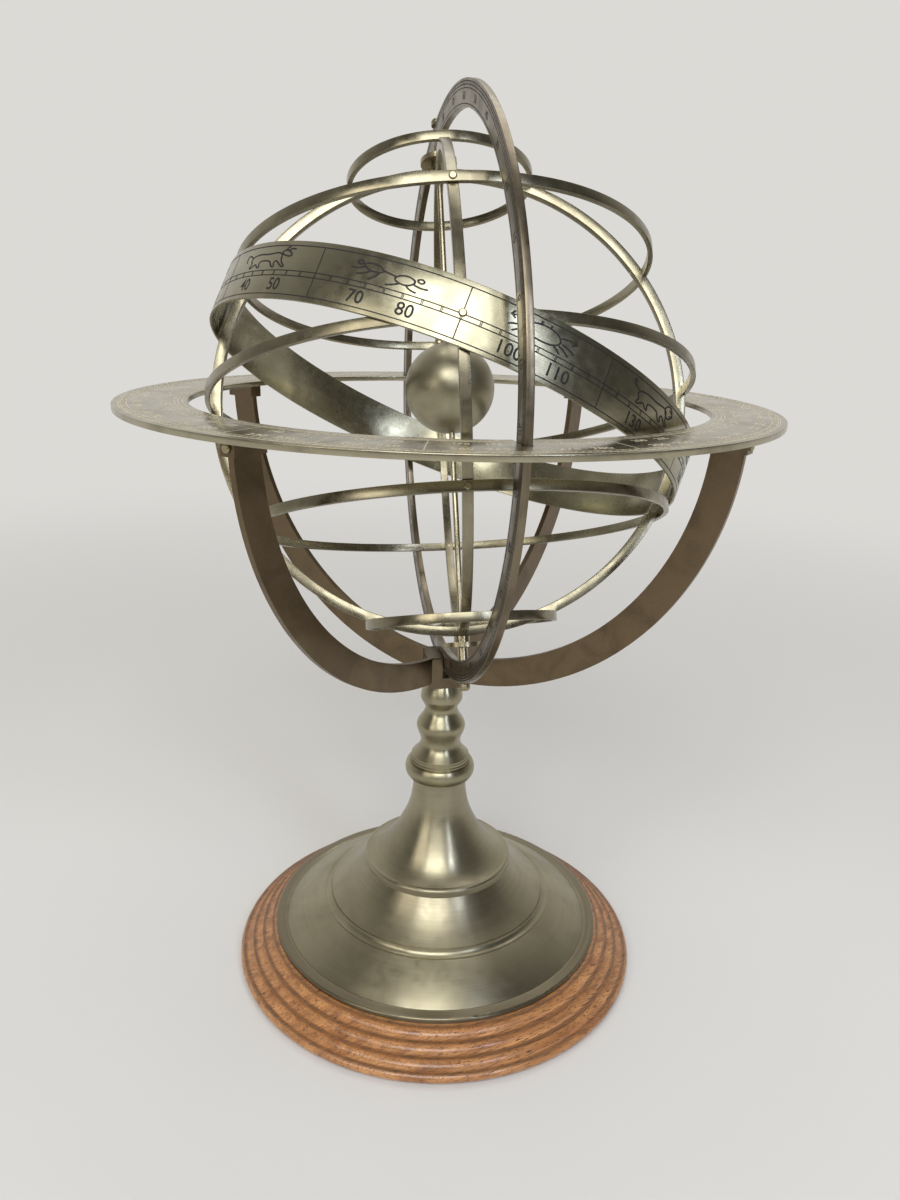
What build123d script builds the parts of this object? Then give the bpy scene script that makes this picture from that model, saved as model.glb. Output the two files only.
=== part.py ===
from build123d import *
from math import cos, radians, sin, sqrt
import os

# Armillary sphere on a turned stand, in millimetres, +Z up.
# The origin is the centre of the foot's underside. The meridian ring stands in the YZ plane, the
# front is -Y, and the north pole leans to the back, towards +Y.

# Whole layout
POLE_TILT = 22.1             # lean of the polar axis from the vertical, in degrees
CAGE_TURN = -9.1             # turn of the cage about its axis, in degrees
OBLIQUITY = 23.44            # tilt of the zodiac band from the equator, in degrees
FIT = 0.05                   # gap between pieces that are fixed together
TURN_FIT = 0.06              # radial clearance of a bore that turns on the polar rod

# Wooden base
FELT_THICKNESS = 1.0
FELT_INSET = 10.0
WOOD_TOP = 20.0
WOOD_LIP_RADIUS = 118.0
WOOD_LIP_HEIGHT = 5.2
WOOD_LIP_ROUND = 1.8
BEAD_COUNT = 3
BEAD_GROOVE = 0.9
WOOD_TOP_RADIUS = 98.0
RECESS_MARGIN = 4.0          # room for a spanner round the washer
RECESS_SPACE = 1.7           # room below the tie rod's end

# Spun foot
SHELL = 1.2
RIM_RADIUS = 96.5
RIM_HEIGHT = 2.9
RIM_ROUND = 1.3
RIM_WIDTH = 5.8
RIM_GROOVE = 0.8
BEAD_RADIUS = 66.9
BEAD_HEIGHT = 16.6           # lower edge of the foot's bead above the wood
BEAD_SIZE = 5.4
DISH_TOP_HEIGHT = 38.6       # bell seat above the wood
BELL_RIM_RADIUS = 43.4
BELL_OVERHANG = 0.8
BELL_RIM_HEIGHT = 4.6
BELL_RIM_ROUND = 1.8
BELL_HEIGHT = 56.0
BELL_FLARE_RADIUS = 29.2
BELL_FLARE_AT = 0.24         # share of the bell's height
BELL_WAIST_RADIUS = 21.2
BELL_WAIST_AT = 0.48
BELL_NECK_RADIUS = 14.8
DOME_RISE = 1.6

# Stem
COLLAR_RADIUS = 20.1
COLLAR_HEIGHT = 12.0
COLLAR_BULGE = 1.5
COLLAR_STEP_RADIUS = 17.3
COLLAR_STEP_INSET = 0.5
COLLAR_STEP = 3.4
BALUSTER_HEIGHT = 45.4
BALUSTER_FOOT_RADIUS = 16.5
BALUSTER_FOOT_LIP = 1.2
LOW_NECK_RADIUS = 11.4
LOW_NECK_AT = 0.21           # share of the baluster's height
LARGE_KNOP_RADIUS = 13.9
LARGE_KNOP_AT = 0.42
HIGH_NECK_RADIUS = 9.2
HIGH_NECK_AT = 0.66
SMALL_KNOP_RADIUS = 11.9
SMALL_KNOP_AT = 0.81
TIE_RADIUS = 3.0
TIE_CLEARANCE = 0.2
TIE_COVER = 1.0              # metal left between the tie rod's end and the hub's slot
TIE_TAIL = 0.8
TIE_CHAMFER = 0.5
WASHER_RADIUS = 10.0
WASHER_THICKNESS = 1.5
NUT_ACROSS_FLATS = 10.0
NUT_THICKNESS = 4.5

# Hub and arms
HUB_WIDTH = 20.0
HUB_HEIGHT = 18.0
HUB_SLOT_FLOOR = 6.0
HUB_SLOT_SPACE = 5.5         # below the meridian ring's lowest edge
HUB_CHAMFER = 0.8
ARM_RISE = 2.7               # from the hub's underside to the arms' lowest point
ARM_WIDTH = 15.0
ARM_THICKNESS = 3.0
ARM_SEAT = 3.5               # depth of the hub's corner slots, along the diagonal
SOCKET_HEIGHT = 7.0
SOCKET_WALL = 1.4
SOCKET_CHEEK = 2.4
SOCKET_SCREW_RADIUS = 1.0
SOCKET_SCREW_DEPTH = 6.0
SOCKET_HEAD_RADIUS = 2.0
SOCKET_HEAD_HEIGHT = 1.3
SOCKET_HEAD_ROUND = 0.8
ARM_AZIMUTHS = {"front_right": -45, "back_right": 45, "back_left": 135, "front_left": 225}

# Horizon and meridian rings
HORIZON_OVERHANG = 10.7      # beyond the arms
HORIZON_SPACE = 6.8          # between the zodiac band and the horizon ring
HORIZON_THICKNESS = 2.8
MERIDIAN_SPACE = 10.1        # between the zodiac band and the meridian ring
MERIDIAN_WIDTH = 11.7
MERIDIAN_THICKNESS = 3.3
SLIDE_CLEARANCE = 0.4        # each side of the meridian ring, in the hub and in the horizon's notches
NOTCH_CLEARANCE = 0.9        # beyond the meridian ring's edge

# Polar axis
ROD_RADIUS = 1.5
SPIGOT_RADIUS = 1.0
PIVOT_NUT_RADIUS = 2.9
PIVOT_NUT_HEIGHT = 3.6
PIVOT_NUT_ROUND = 1.7
SPIGOT_THREAD = 2.2
SLEEVE_RADIUS = 2.6
SLEEVE_GAP = 0.3
BALL_RADIUS = 23.0
BALL_WALL = 1.5
BALL_RAISE = 6.0             # the ball sits this far north of the sphere's centre

# Cage
COLURE_RADIUS = 121.5        # outer face of the two polar circles
COLURE_THICKNESS = 5.0
STRIP_THICKNESS = 2.5        # of the parallel circles
STRIP_WIDTH = 4.6
SEAT_DEPTH = 1.6             # how deep a parallel circle is let into the colures
ARCTIC_RADIUS = 45.8
ARCTIC_SEAT = 0.6
ZODIAC_WIDTH = 26.0
ZODIAC_THICKNESS = 1.2
ZODIAC_GAP = 0.1             # between the equator's outer face and the zodiac band
TROPIC_GAP = 0.2             # between the zodiac band's edge and a tropic
DISC_RADIUS = 9.5
DISC_THICKNESS = 2.4
DISC_BOSS_RADIUS = 4.0
DISC_BOSS_HEIGHT = 3.1       # lifts the disc off the colures
RIVET_RADIUS = 0.8
RIVET_HEAD_RADIUS = 1.75
RIVET_HEAD_HEIGHT = 0.7
RIVET_HEAD_TAPER = 35        # degrees
RIVET_TAIL = 0.4

# Cage sizes, from the centre outwards
colure_inner_radius = COLURE_RADIUS - COLURE_THICKNESS
halving_radius = COLURE_RADIUS - COLURE_THICKNESS / 2
equator_inner_radius = COLURE_RADIUS - SEAT_DEPTH
equator_outer_radius = equator_inner_radius + STRIP_THICKNESS
zodiac_inner_radius = equator_outer_radius + ZODIAC_GAP
zodiac_outer_radius = zodiac_inner_radius + ZODIAC_THICKNESS
zodiac_peak = (
    zodiac_outer_radius * sin(radians(OBLIQUITY)) + ZODIAC_WIDTH / 2 * cos(radians(OBLIQUITY))
)
tropic_height = zodiac_peak + TROPIC_GAP
tropic_inner_radius = sqrt(COLURE_RADIUS**2 - tropic_height**2) - SEAT_DEPTH
tropic_outer_radius = tropic_inner_radius + STRIP_THICKNESS
arctic_height = sqrt(COLURE_RADIUS**2 - (ARCTIC_RADIUS + STRIP_THICKNESS / 2) ** 2) - ARCTIC_SEAT

# Rings round the cage
meridian_inner_radius = zodiac_outer_radius + MERIDIAN_SPACE
meridian_outer_radius = meridian_inner_radius + MERIDIAN_WIDTH
slide_width = MERIDIAN_THICKNESS + 2 * SLIDE_CLEARANCE
notch_radius = meridian_outer_radius + NOTCH_CLEARANCE
horizon_inner_radius = zodiac_outer_radius + HORIZON_SPACE

# Heights up the stand, to the sphere's centre in the horizon ring's upper face
dish_top = WOOD_TOP + DISH_TOP_HEIGHT
dish_top_radius = BELL_RIM_RADIUS - BELL_OVERHANG
bell_top = dish_top + BELL_HEIGHT
collar_top = bell_top + COLLAR_HEIGHT
hub_bottom = collar_top + BALUSTER_HEIGHT
hub_top = hub_bottom + HUB_HEIGHT
slot_floor = hub_bottom + HUB_SLOT_FLOOR
horizon_top = slot_floor + HUB_SLOT_SPACE + meridian_outer_radius
horizon_bottom = horizon_top - HORIZON_THICKNESS
arm_outer_radius = horizon_top - hub_bottom - ARM_RISE
arm_inner_radius = arm_outer_radius - ARM_WIDTH
arm_start = HUB_WIDTH / sqrt(2) - ARM_SEAT
horizon_outer_radius = arm_outer_radius + HORIZON_OVERHANG

# Tie rod and the recess for its nut
tie_bore = TIE_RADIUS + TIE_CLEARANCE
tie_top = slot_floor - TIE_COVER
recess_radius = WASHER_RADIUS + RECESS_MARGIN
recess_depth = WASHER_THICKNESS + NUT_THICKNESS + TIE_TAIL + RECESS_SPACE
recess_top = FELT_THICKNESS + recess_depth
nut_bottom = recess_top - WASHER_THICKNESS - NUT_THICKNESS
tie_bottom = nut_bottom - TIE_TAIL

# Planes: the polar axis, the turned cage and the zodiac
centre = Vector(0, 0, horizon_top)
polar_plane = Plane(
    origin=centre,
    x_dir=(1, 0, 0),
    z_dir=(0, sin(radians(POLE_TILT)), cos(radians(POLE_TILT))),
)
cage_plane = polar_plane.moved(Rotation(0, 0, CAGE_TURN - 90))
zodiac_plane = cage_plane.moved(Rotation(-OBLIQUITY, 0, 0))
meridian_plane = Plane(origin=centre, x_dir=(0, 1, 0), z_dir=(1, 0, 0))
pole_planes = {
    "north": polar_plane,
    "south": Plane(origin=centre, x_dir=polar_plane.x_dir, z_dir=-polar_plane.z_dir),
}
arm_planes = {
    name: Plane(origin=centre, x_dir=turned.x_dir, z_dir=-turned.y_dir)
    for name, turned in (
        (name, Plane.XY.moved(Rotation(0, 0, azimuth))) for name, azimuth in ARM_AZIMUTHS.items()
    )
}

os.makedirs("parts", exist_ok=True)


def save(part, name):
    """Label a finished piece and write its STEP file."""
    part.label = name
    export_step(part, f"parts/{name}.step")


# Wooden base, turned with three beads above a rounded lip
bead_width = (WOOD_LIP_RADIUS - WOOD_TOP_RADIUS) / (BEAD_COUNT + 0.5)
bead_height = (WOOD_TOP - FELT_THICKNESS - WOOD_LIP_HEIGHT) / BEAD_COUNT
with BuildPart() as wood_base:
    with BuildSketch(Plane.XZ):
        with BuildLine():
            lip_edge = WOOD_LIP_RADIUS - WOOD_LIP_ROUND
            lip_middle = FELT_THICKNESS + WOOD_LIP_HEIGHT / 2
            Line((0, FELT_THICKNESS), (lip_edge, FELT_THICKNESS))
            ThreePointArc(
                (lip_edge, FELT_THICKNESS),
                (WOOD_LIP_RADIUS, lip_middle),
                (lip_edge, FELT_THICKNESS + WOOD_LIP_HEIGHT),
            )
            edge = Vector(lip_edge, FELT_THICKNESS + WOOD_LIP_HEIGHT)
            for step in range(BEAD_COUNT):
                foot = edge - Vector(BEAD_GROOVE, 0)
                head = foot + Vector(-bead_width + BEAD_GROOVE, bead_height)
                Line(edge, foot)
                SagittaArc(foot, head, bead_height / 2)
                edge = head
            Polyline(edge, (0, WOOD_TOP), (0, FELT_THICKNESS))
        make_face()
    revolve(axis=Axis.Z)
    with Locations(Plane.XY.offset(FELT_THICKNESS)):
        Cylinder(
            recess_radius,
            recess_depth,
            align=(Align.CENTER, Align.CENTER, Align.MIN),
            mode=Mode.SUBTRACT,
        )
    with Locations(Plane.XY.offset(WOOD_TOP)):
        Hole(tie_bore)
save(wood_base.part, "wood_base")

with BuildPart() as base_felt:
    with BuildSketch():
        Circle(WOOD_LIP_RADIUS - FELT_INSET)
        Circle(recess_radius, mode=Mode.SUBTRACT)
    extrude(amount=FELT_THICKNESS)
save(base_felt.part, "base_felt")

# Foot dish, a spun shell: rolled rim, long slope, raised bead and dome up to the bell's seat
rim_top = WOOD_TOP + RIM_HEIGHT
rim_inner = RIM_RADIUS - RIM_WIDTH
bead_low = WOOD_TOP + BEAD_HEIGHT
bead_turn = BEAD_SIZE / sqrt(2)


def draw_dish(shift):
    """Draw the dish's turned outline, moved in and down by shift, and close it on the axis."""
    rim = Vector(RIM_RADIUS - shift, rim_top - shift)
    groove = Vector(rim_inner - shift, rim_top - shift)
    bead_foot = Vector(BEAD_RADIUS + RIM_GROOVE - shift, bead_low - shift)
    bead_head = bead_foot + Vector(-bead_turn - RIM_GROOVE, bead_turn)
    seat = Vector(dish_top_radius - shift, dish_top - shift)
    Line((rim.X, WOOD_TOP), rim - Vector(0, RIM_ROUND))
    RadiusArc(rim - Vector(0, RIM_ROUND), rim - Vector(RIM_ROUND, 0), -RIM_ROUND)
    Polyline(
        rim - Vector(RIM_ROUND, 0),
        groove + Vector(0, RIM_GROOVE / 2),
        groove - Vector(RIM_GROOVE, 0),
    )
    SagittaArc(groove - Vector(RIM_GROOVE, 0), bead_foot, -RIM_GROOVE)
    SagittaArc(bead_foot, bead_head, BEAD_SIZE / 3)
    SagittaArc(bead_head, seat, DOME_RISE)
    Polyline(seat, (0, seat.Y), (0, WOOD_TOP), (rim.X, WOOD_TOP))


with BuildPart() as foot_dish:
    with BuildSketch(Plane.XZ):
        with BuildLine():
            draw_dish(0)
        make_face()
    revolve(axis=Axis.Z)
    with BuildSketch(Plane.XZ):
        with BuildLine():
            draw_dish(SHELL)
        make_face()
    revolve(axis=Axis.Z, mode=Mode.SUBTRACT)
    with Locations(Plane.XY.offset(dish_top)):
        Hole(tie_bore)
save(foot_dish.part, "foot_dish")


# Foot bell, a spun trumpet with a rolled rim that stands on the dish
def draw_bell(shift):
    """Draw the trumpet's outline, moved in and down by shift, and close it on the axis."""
    rim = Vector(BELL_RIM_RADIUS - shift, dish_top + BELL_RIM_HEIGHT - shift)
    flare_foot = rim - Vector(BELL_RIM_ROUND + RIM_GROOVE, 0)
    flare = Vector(BELL_FLARE_RADIUS - shift, dish_top + BELL_HEIGHT * BELL_FLARE_AT - shift)
    waist = Vector(BELL_WAIST_RADIUS - shift, dish_top + BELL_HEIGHT * BELL_WAIST_AT)
    neck = Vector(BELL_NECK_RADIUS - shift, bell_top - shift)
    Line((rim.X, dish_top), rim - Vector(0, BELL_RIM_ROUND))
    RadiusArc(rim - Vector(0, BELL_RIM_ROUND), rim - Vector(BELL_RIM_ROUND, 0), -BELL_RIM_ROUND)
    Line(rim - Vector(BELL_RIM_ROUND, 0), flare_foot)
    Spline(flare_foot, flare, waist, neck, tangents=((-1, 0.35), (-0.06, 1)))
    Polyline(neck, (0, neck.Y), (0, dish_top), (rim.X, dish_top))


with BuildPart() as foot_bell:
    with BuildSketch(Plane.XZ):
        with BuildLine():
            draw_bell(0)
        make_face()
    revolve(axis=Axis.Z)
    with BuildSketch(Plane.XZ):
        with BuildLine():
            draw_bell(SHELL)
        make_face()
    revolve(axis=Axis.Z, mode=Mode.SUBTRACT)
    with Locations(Plane.XY.offset(bell_top)):
        Hole(tie_bore)
save(foot_bell.part, "foot_bell")

# Stem collar, a barrel-sided disc with a stepped ring on it
with BuildPart() as stem_collar:
    with BuildSketch(Plane.XZ):
        with BuildLine():
            shoulder = collar_top - COLLAR_STEP
            side = COLLAR_RADIUS - COLLAR_BULGE
            middle = (bell_top + shoulder) / 2
            inner_step = COLLAR_STEP_RADIUS - COLLAR_STEP_INSET
            Line((0, bell_top), (side, bell_top))
            ThreePointArc((side, bell_top), (COLLAR_RADIUS, middle), (side, shoulder))
            Polyline(
                (side, shoulder),
                (COLLAR_STEP_RADIUS, shoulder),
                (COLLAR_STEP_RADIUS, shoulder + COLLAR_STEP / 2),
                (inner_step, shoulder + COLLAR_STEP / 2),
                (inner_step, collar_top),
                (0, collar_top),
                (0, bell_top),
            )
        make_face()
    revolve(axis=Axis.Z)
    with Locations(Plane.XY.offset(collar_top)):
        Hole(tie_bore)
save(stem_collar.part, "stem_collar")

# Stem baluster: flared foot, neck, large knop, neck and small knop
with BuildPart() as stem_baluster:
    with BuildSketch(Plane.XZ):
        with BuildLine():
            foot_edge = Vector(BALUSTER_FOOT_RADIUS, collar_top)
            foot_lip = foot_edge + Vector(0, BALUSTER_FOOT_LIP)
            top_edge = Vector(HIGH_NECK_RADIUS, hub_bottom)
            turns = (
                (LOW_NECK_RADIUS, LOW_NECK_AT),
                (LARGE_KNOP_RADIUS, LARGE_KNOP_AT),
                (HIGH_NECK_RADIUS, HIGH_NECK_AT),
                (SMALL_KNOP_RADIUS, SMALL_KNOP_AT),
            )
            profile = [Vector(radius, collar_top + share * BALUSTER_HEIGHT) for radius, share in turns]
            Polyline((0, collar_top), foot_edge, foot_lip)
            Spline(
                foot_lip,
                *profile,
                top_edge,
                tangents=[(-1, 1), *[(0, 1)] * len(profile), (-1, 2)],
            )
            Polyline(top_edge, (0, hub_bottom), (0, collar_top))
        make_face()
    revolve(axis=Axis.Z)
    with Locations(Plane.XY.offset(hub_bottom)):
        Hole(tie_bore)
save(stem_baluster.part, "stem_baluster")

# Tie rod through the stem, with its washer and nut under the base
with BuildPart() as tie_rod:
    with BuildSketch(Plane.XY.offset(tie_bottom)):
        Circle(TIE_RADIUS)
    extrude(amount=tie_top - tie_bottom)
    chamfer(tie_rod.edges().filter_by(GeomType.CIRCLE), length=TIE_CHAMFER)
save(tie_rod.part, "tie_rod")

with BuildPart() as base_washer:
    with BuildSketch(Plane.XY.offset(recess_top - WASHER_THICKNESS)):
        Circle(WASHER_RADIUS)
        Circle(TIE_RADIUS + FIT, mode=Mode.SUBTRACT)
    extrude(amount=WASHER_THICKNESS)
save(base_washer.part, "base_washer")

with BuildPart() as base_nut:
    with BuildSketch(Plane.XY.offset(nut_bottom)):
        RegularPolygon(NUT_ACROSS_FLATS / 2, 6, major_radius=False)
        Circle(TIE_RADIUS + FIT, mode=Mode.SUBTRACT)
    extrude(amount=NUT_THICKNESS)
save(base_nut.part, "base_nut")

# Hub block on the stem: a slot that the meridian ring slides through and a slot in each corner
with BuildPart() as hub_block:
    with BuildSketch(Plane.XY.offset(hub_bottom)):
        Rectangle(HUB_WIDTH, HUB_WIDTH)
    extrude(amount=HUB_HEIGHT)
    chamfer(hub_block.faces().sort_by(Axis.Z)[-1].edges(), length=HUB_CHAMFER)
    with BuildSketch(Plane.XY.offset(slot_floor)):
        Rectangle(slide_width, HUB_WIDTH)
    extrude(amount=hub_top - slot_floor, mode=Mode.SUBTRACT)
    for arm_plane in arm_planes.values():
        with BuildSketch(arm_plane.offset(-ARM_THICKNESS / 2 - FIT)):
            with Locations((arm_start - FIT, 0)):
                Rectangle(HUB_WIDTH, 2 * horizon_top, align=(Align.MIN, Align.CENTER))
            Circle(arm_outer_radius + FIT, mode=Mode.INTERSECT)
        extrude(amount=ARM_THICKNESS + 2 * FIT, mode=Mode.SUBTRACT)
    with Locations(Plane.XY.offset(hub_bottom)):
        Cylinder(
            TIE_RADIUS + FIT,
            tie_top - hub_bottom + FIT,
            align=(Align.CENTER, Align.CENTER, Align.MIN),
            mode=Mode.SUBTRACT,
        )
save(hub_block.part, "hub_block")

# Four quarter-circle arms from the hub to the horizon ring, each with its socket
socket_inner = arm_inner_radius - FIT - SOCKET_WALL
socket_outer = arm_outer_radius + FIT + SOCKET_WALL
socket_width = ARM_THICKNESS + 2 * FIT + 2 * SOCKET_CHEEK
screw_height = horizon_bottom - SOCKET_HEIGHT / 2
screw_tip = arm_outer_radius - SOCKET_SCREW_DEPTH
socket_screws = []
for name, arm_plane in arm_planes.items():
    outward = arm_plane.x_dir
    screw_plane = Plane(origin=Vector(0, 0, screw_height) + outward * screw_tip, z_dir=outward)
    with BuildPart() as arm:
        with BuildSketch(arm_plane.offset(-ARM_THICKNESS / 2)):
            Circle(arm_outer_radius)
            Circle(arm_inner_radius, mode=Mode.SUBTRACT)
            with Locations((arm_start, -HORIZON_THICKNESS)):
                Rectangle(
                    arm_outer_radius,
                    arm_outer_radius,
                    align=(Align.MIN, Align.MAX),
                    mode=Mode.INTERSECT,
                )
        extrude(amount=ARM_THICKNESS)
        with BuildSketch(screw_plane):
            Circle(SOCKET_SCREW_RADIUS + FIT)
        extrude(amount=SOCKET_SCREW_DEPTH, mode=Mode.SUBTRACT)
    save(arm.part, f"arm_{name}")

    with BuildPart() as socket:
        with BuildSketch(
            Plane(origin=(0, 0, horizon_bottom - SOCKET_HEIGHT), x_dir=outward, z_dir=(0, 0, 1))
        ):
            with Locations(((socket_inner + socket_outer) / 2, 0)):
                Rectangle(socket_outer - socket_inner, socket_width)
        extrude(amount=SOCKET_HEIGHT)
        with BuildSketch(arm_plane.offset(-ARM_THICKNESS / 2 - FIT)):
            Circle(arm_outer_radius + FIT)
            Circle(arm_inner_radius - FIT, mode=Mode.SUBTRACT)
        extrude(amount=ARM_THICKNESS + 2 * FIT, mode=Mode.SUBTRACT)
        with BuildSketch(screw_plane):
            Circle(SOCKET_SCREW_RADIUS + FIT)
        extrude(amount=socket_outer, mode=Mode.SUBTRACT)
    save(socket.part, f"socket_{name}")

    with BuildPart() as socket_screw:
        with BuildSketch(screw_plane):
            Circle(SOCKET_SCREW_RADIUS)
        extrude(amount=socket_outer - screw_tip)
        with BuildSketch(screw_plane.offset(socket_outer - screw_tip)):
            Circle(SOCKET_HEAD_RADIUS)
        extrude(amount=SOCKET_HEAD_HEIGHT)
        fillet(
            socket_screw.faces().sort_by(Axis(screw_plane.origin, screw_plane.z_dir))[-1].edges(),
            radius=SOCKET_HEAD_ROUND,
        )
    socket_screws.append(socket_screw.part)
save(Compound(children=socket_screws), "socket_screws")

# Horizon ring, a flat plate notched on both sides for the meridian ring
with BuildPart() as horizon_ring:
    with BuildSketch(Plane.XY.offset(horizon_bottom)):
        Circle(horizon_outer_radius)
        Circle(horizon_inner_radius, mode=Mode.SUBTRACT)
        Rectangle(slide_width, 2 * notch_radius, mode=Mode.SUBTRACT)
    extrude(amount=HORIZON_THICKNESS)
save(horizon_ring.part, "horizon_ring")

# Meridian ring with the two holes of the polar axis
with BuildPart() as meridian_ring:
    with BuildSketch(meridian_plane.offset(-MERIDIAN_THICKNESS / 2)):
        Circle(meridian_outer_radius)
        Circle(meridian_inner_radius, mode=Mode.SUBTRACT)
    extrude(amount=MERIDIAN_THICKNESS)
    with BuildSketch(polar_plane.offset(-meridian_outer_radius)):
        Circle(SPIGOT_RADIUS + FIT)
    extrude(amount=2 * meridian_outer_radius, mode=Mode.SUBTRACT)
save(meridian_ring.part, "meridian_ring")

# Polar rod, turned down to a spigot at each end
rod_end = meridian_inner_radius - FIT
spigot_end = meridian_outer_radius + SPIGOT_THREAD
with BuildPart() as polar_rod:
    with BuildSketch(polar_plane.offset(-rod_end)):
        Circle(ROD_RADIUS)
    extrude(amount=2 * rod_end)
    with BuildSketch(polar_plane.offset(-spigot_end)):
        Circle(SPIGOT_RADIUS)
    extrude(amount=2 * spigot_end)
save(polar_rod.part, "polar_rod")

# Domed nut and spacer sleeve at each pole
nut_seat = meridian_outer_radius + FIT
disc_seat = COLURE_RADIUS + FIT
disc_start = disc_seat + DISC_BOSS_HEIGHT
sleeve_start = disc_start + DISC_THICKNESS + SLEEVE_GAP
for name, pole_plane in pole_planes.items():
    with BuildPart() as pivot_nut:
        with BuildSketch(pole_plane.offset(nut_seat)):
            Circle(PIVOT_NUT_RADIUS)
        extrude(amount=PIVOT_NUT_HEIGHT)
        fillet(
            pivot_nut.faces().sort_by(Axis(centre, pole_plane.z_dir))[-1].edges(),
            radius=PIVOT_NUT_ROUND,
        )
        with BuildSketch(pole_plane.offset(nut_seat)):
            Circle(SPIGOT_RADIUS + FIT)
        extrude(amount=SPIGOT_THREAD + FIT, mode=Mode.SUBTRACT)
    save(pivot_nut.part, f"pivot_nut_{name}")

    with BuildPart() as sleeve:
        with BuildSketch(pole_plane.offset(sleeve_start)):
            Circle(SLEEVE_RADIUS)
            Circle(ROD_RADIUS + FIT, mode=Mode.SUBTRACT)
        extrude(amount=rod_end - sleeve_start)
    save(sleeve.part, f"sleeve_{name}")

# Hollow ball on the rod at the centre
with BuildPart() as earth_ball:
    with Locations(polar_plane.offset(BALL_RAISE)):
        Sphere(BALL_RADIUS)
        Sphere(BALL_RADIUS - BALL_WALL, mode=Mode.SUBTRACT)
        Cylinder(ROD_RADIUS + FIT, 3 * BALL_RADIUS, mode=Mode.SUBTRACT)
save(earth_ball.part, "earth_ball")

# Parallel circles of the cage: start height along the axis and inner radius of each
parallels = {
    "arctic_circle": (arctic_height, ARCTIC_RADIUS),
    "tropic_of_cancer": (tropic_height, tropic_inner_radius),
    "equator": (-STRIP_WIDTH / 2, equator_inner_radius),
    "tropic_of_capricorn": (-tropic_height - STRIP_WIDTH, tropic_inner_radius),
    "antarctic_circle": (-arctic_height - STRIP_WIDTH, ARCTIC_RADIUS),
}

# Rivets: height along the axis, outer face that the head sits on, and quarter turns they stand at
tropic_rivet = tropic_height + STRIP_WIDTH / 2
rivet_rows = (
    (tropic_rivet, tropic_outer_radius, (0, 90, 180, 270)),
    (-tropic_rivet, tropic_outer_radius, (0, 90, 180, 270)),
    (0, equator_outer_radius, (90, 270)),
    (0, zodiac_outer_radius, (0, 180)),
)
rivet_places = []
for height, radius, turns in rivet_rows:
    tail = sqrt(colure_inner_radius**2 - height**2) - RIVET_TAIL
    for turn in turns:
        spoke = cage_plane.moved(Rotation(0, 0, turn))
        rivet_places.append(
            (
                Plane(
                    origin=spoke.origin + cage_plane.z_dir * height + spoke.x_dir * tail,
                    z_dir=spoke.x_dir,
                ),
                radius - tail,
            )
        )

with BuildPart() as rivet_holes:
    for place, length in rivet_places:
        with BuildSketch(place):
            Circle(RIVET_RADIUS + FIT)
        extrude(amount=length)

for name, (start, inner_radius) in parallels.items():
    with BuildPart() as parallel:
        with BuildSketch(cage_plane.offset(start)):
            Circle(inner_radius + STRIP_THICKNESS)
            Circle(inner_radius, mode=Mode.SUBTRACT)
        extrude(amount=STRIP_WIDTH)
        add(rivet_holes.part, mode=Mode.SUBTRACT)
    save(parallel.part, name)

# Colures, the two circles through the poles: halved into each other at the poles, housed for the
# parallels, and bored for the polar rod
for name, turn, over in (("colure_equinoctial", 90, True), ("colure_solstitial", 0, False)):
    colure_plane = Plane(
        origin=centre,
        x_dir=cage_plane.z_dir,
        z_dir=cage_plane.moved(Rotation(0, 0, turn)).x_dir,
    )
    with BuildPart() as colure:
        with BuildSketch(colure_plane.offset(-STRIP_WIDTH / 2)):
            Circle(COLURE_RADIUS)
            Circle(colure_inner_radius, mode=Mode.SUBTRACT)
        extrude(amount=STRIP_WIDTH)
        for start, inner_radius in parallels.values():
            with BuildSketch(cage_plane.offset(start - FIT)):
                Circle(inner_radius + STRIP_THICKNESS + FIT)
                Circle(inner_radius - FIT, mode=Mode.SUBTRACT)
            extrude(amount=STRIP_WIDTH + 2 * FIT, mode=Mode.SUBTRACT)
        crossing = Plane(origin=centre, x_dir=colure_plane.z_dir, z_dir=colure_plane.x_dir)
        for end in (crossing, Plane(origin=centre, x_dir=crossing.x_dir, z_dir=-crossing.z_dir)):
            low = colure_inner_radius - STRIP_THICKNESS if over else halving_radius - FIT
            high = halving_radius + FIT if over else COLURE_RADIUS + STRIP_THICKNESS
            with BuildSketch(end.offset(low)):
                Rectangle(STRIP_WIDTH * 2, STRIP_WIDTH + 2 * FIT)
            extrude(amount=high - low, mode=Mode.SUBTRACT)
        with BuildSketch(cage_plane.offset(-COLURE_RADIUS)):
            Circle(ROD_RADIUS + TURN_FIT)
        extrude(amount=2 * COLURE_RADIUS, mode=Mode.SUBTRACT)
        add(rivet_holes.part, mode=Mode.SUBTRACT)
    save(colure.part, name)

# Zodiac band, outside the equator, with its edges against the two tropics
with BuildPart() as zodiac_band:
    with BuildSketch(zodiac_plane.offset(-ZODIAC_WIDTH / 2)):
        Circle(zodiac_outer_radius)
        Circle(zodiac_inner_radius, mode=Mode.SUBTRACT)
    extrude(amount=ZODIAC_WIDTH)
    add(rivet_holes.part, mode=Mode.SUBTRACT)
save(zodiac_band.part, "zodiac_band")

# Disc with a boss outside each crossing of the colures, and the rivets
for name, pole_plane in pole_planes.items():
    with BuildPart() as pole_disc:
        with BuildSketch(pole_plane.offset(disc_seat)):
            Circle(DISC_BOSS_RADIUS)
        extrude(amount=DISC_BOSS_HEIGHT)
        with BuildSketch(pole_plane.offset(disc_start)):
            Circle(DISC_RADIUS)
        extrude(amount=DISC_THICKNESS)
        with BuildSketch(pole_plane.offset(disc_seat)):
            Circle(ROD_RADIUS + TURN_FIT)
        extrude(amount=DISC_BOSS_HEIGHT + DISC_THICKNESS, mode=Mode.SUBTRACT)
    save(pole_disc.part, f"pole_disc_{name}")

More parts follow.
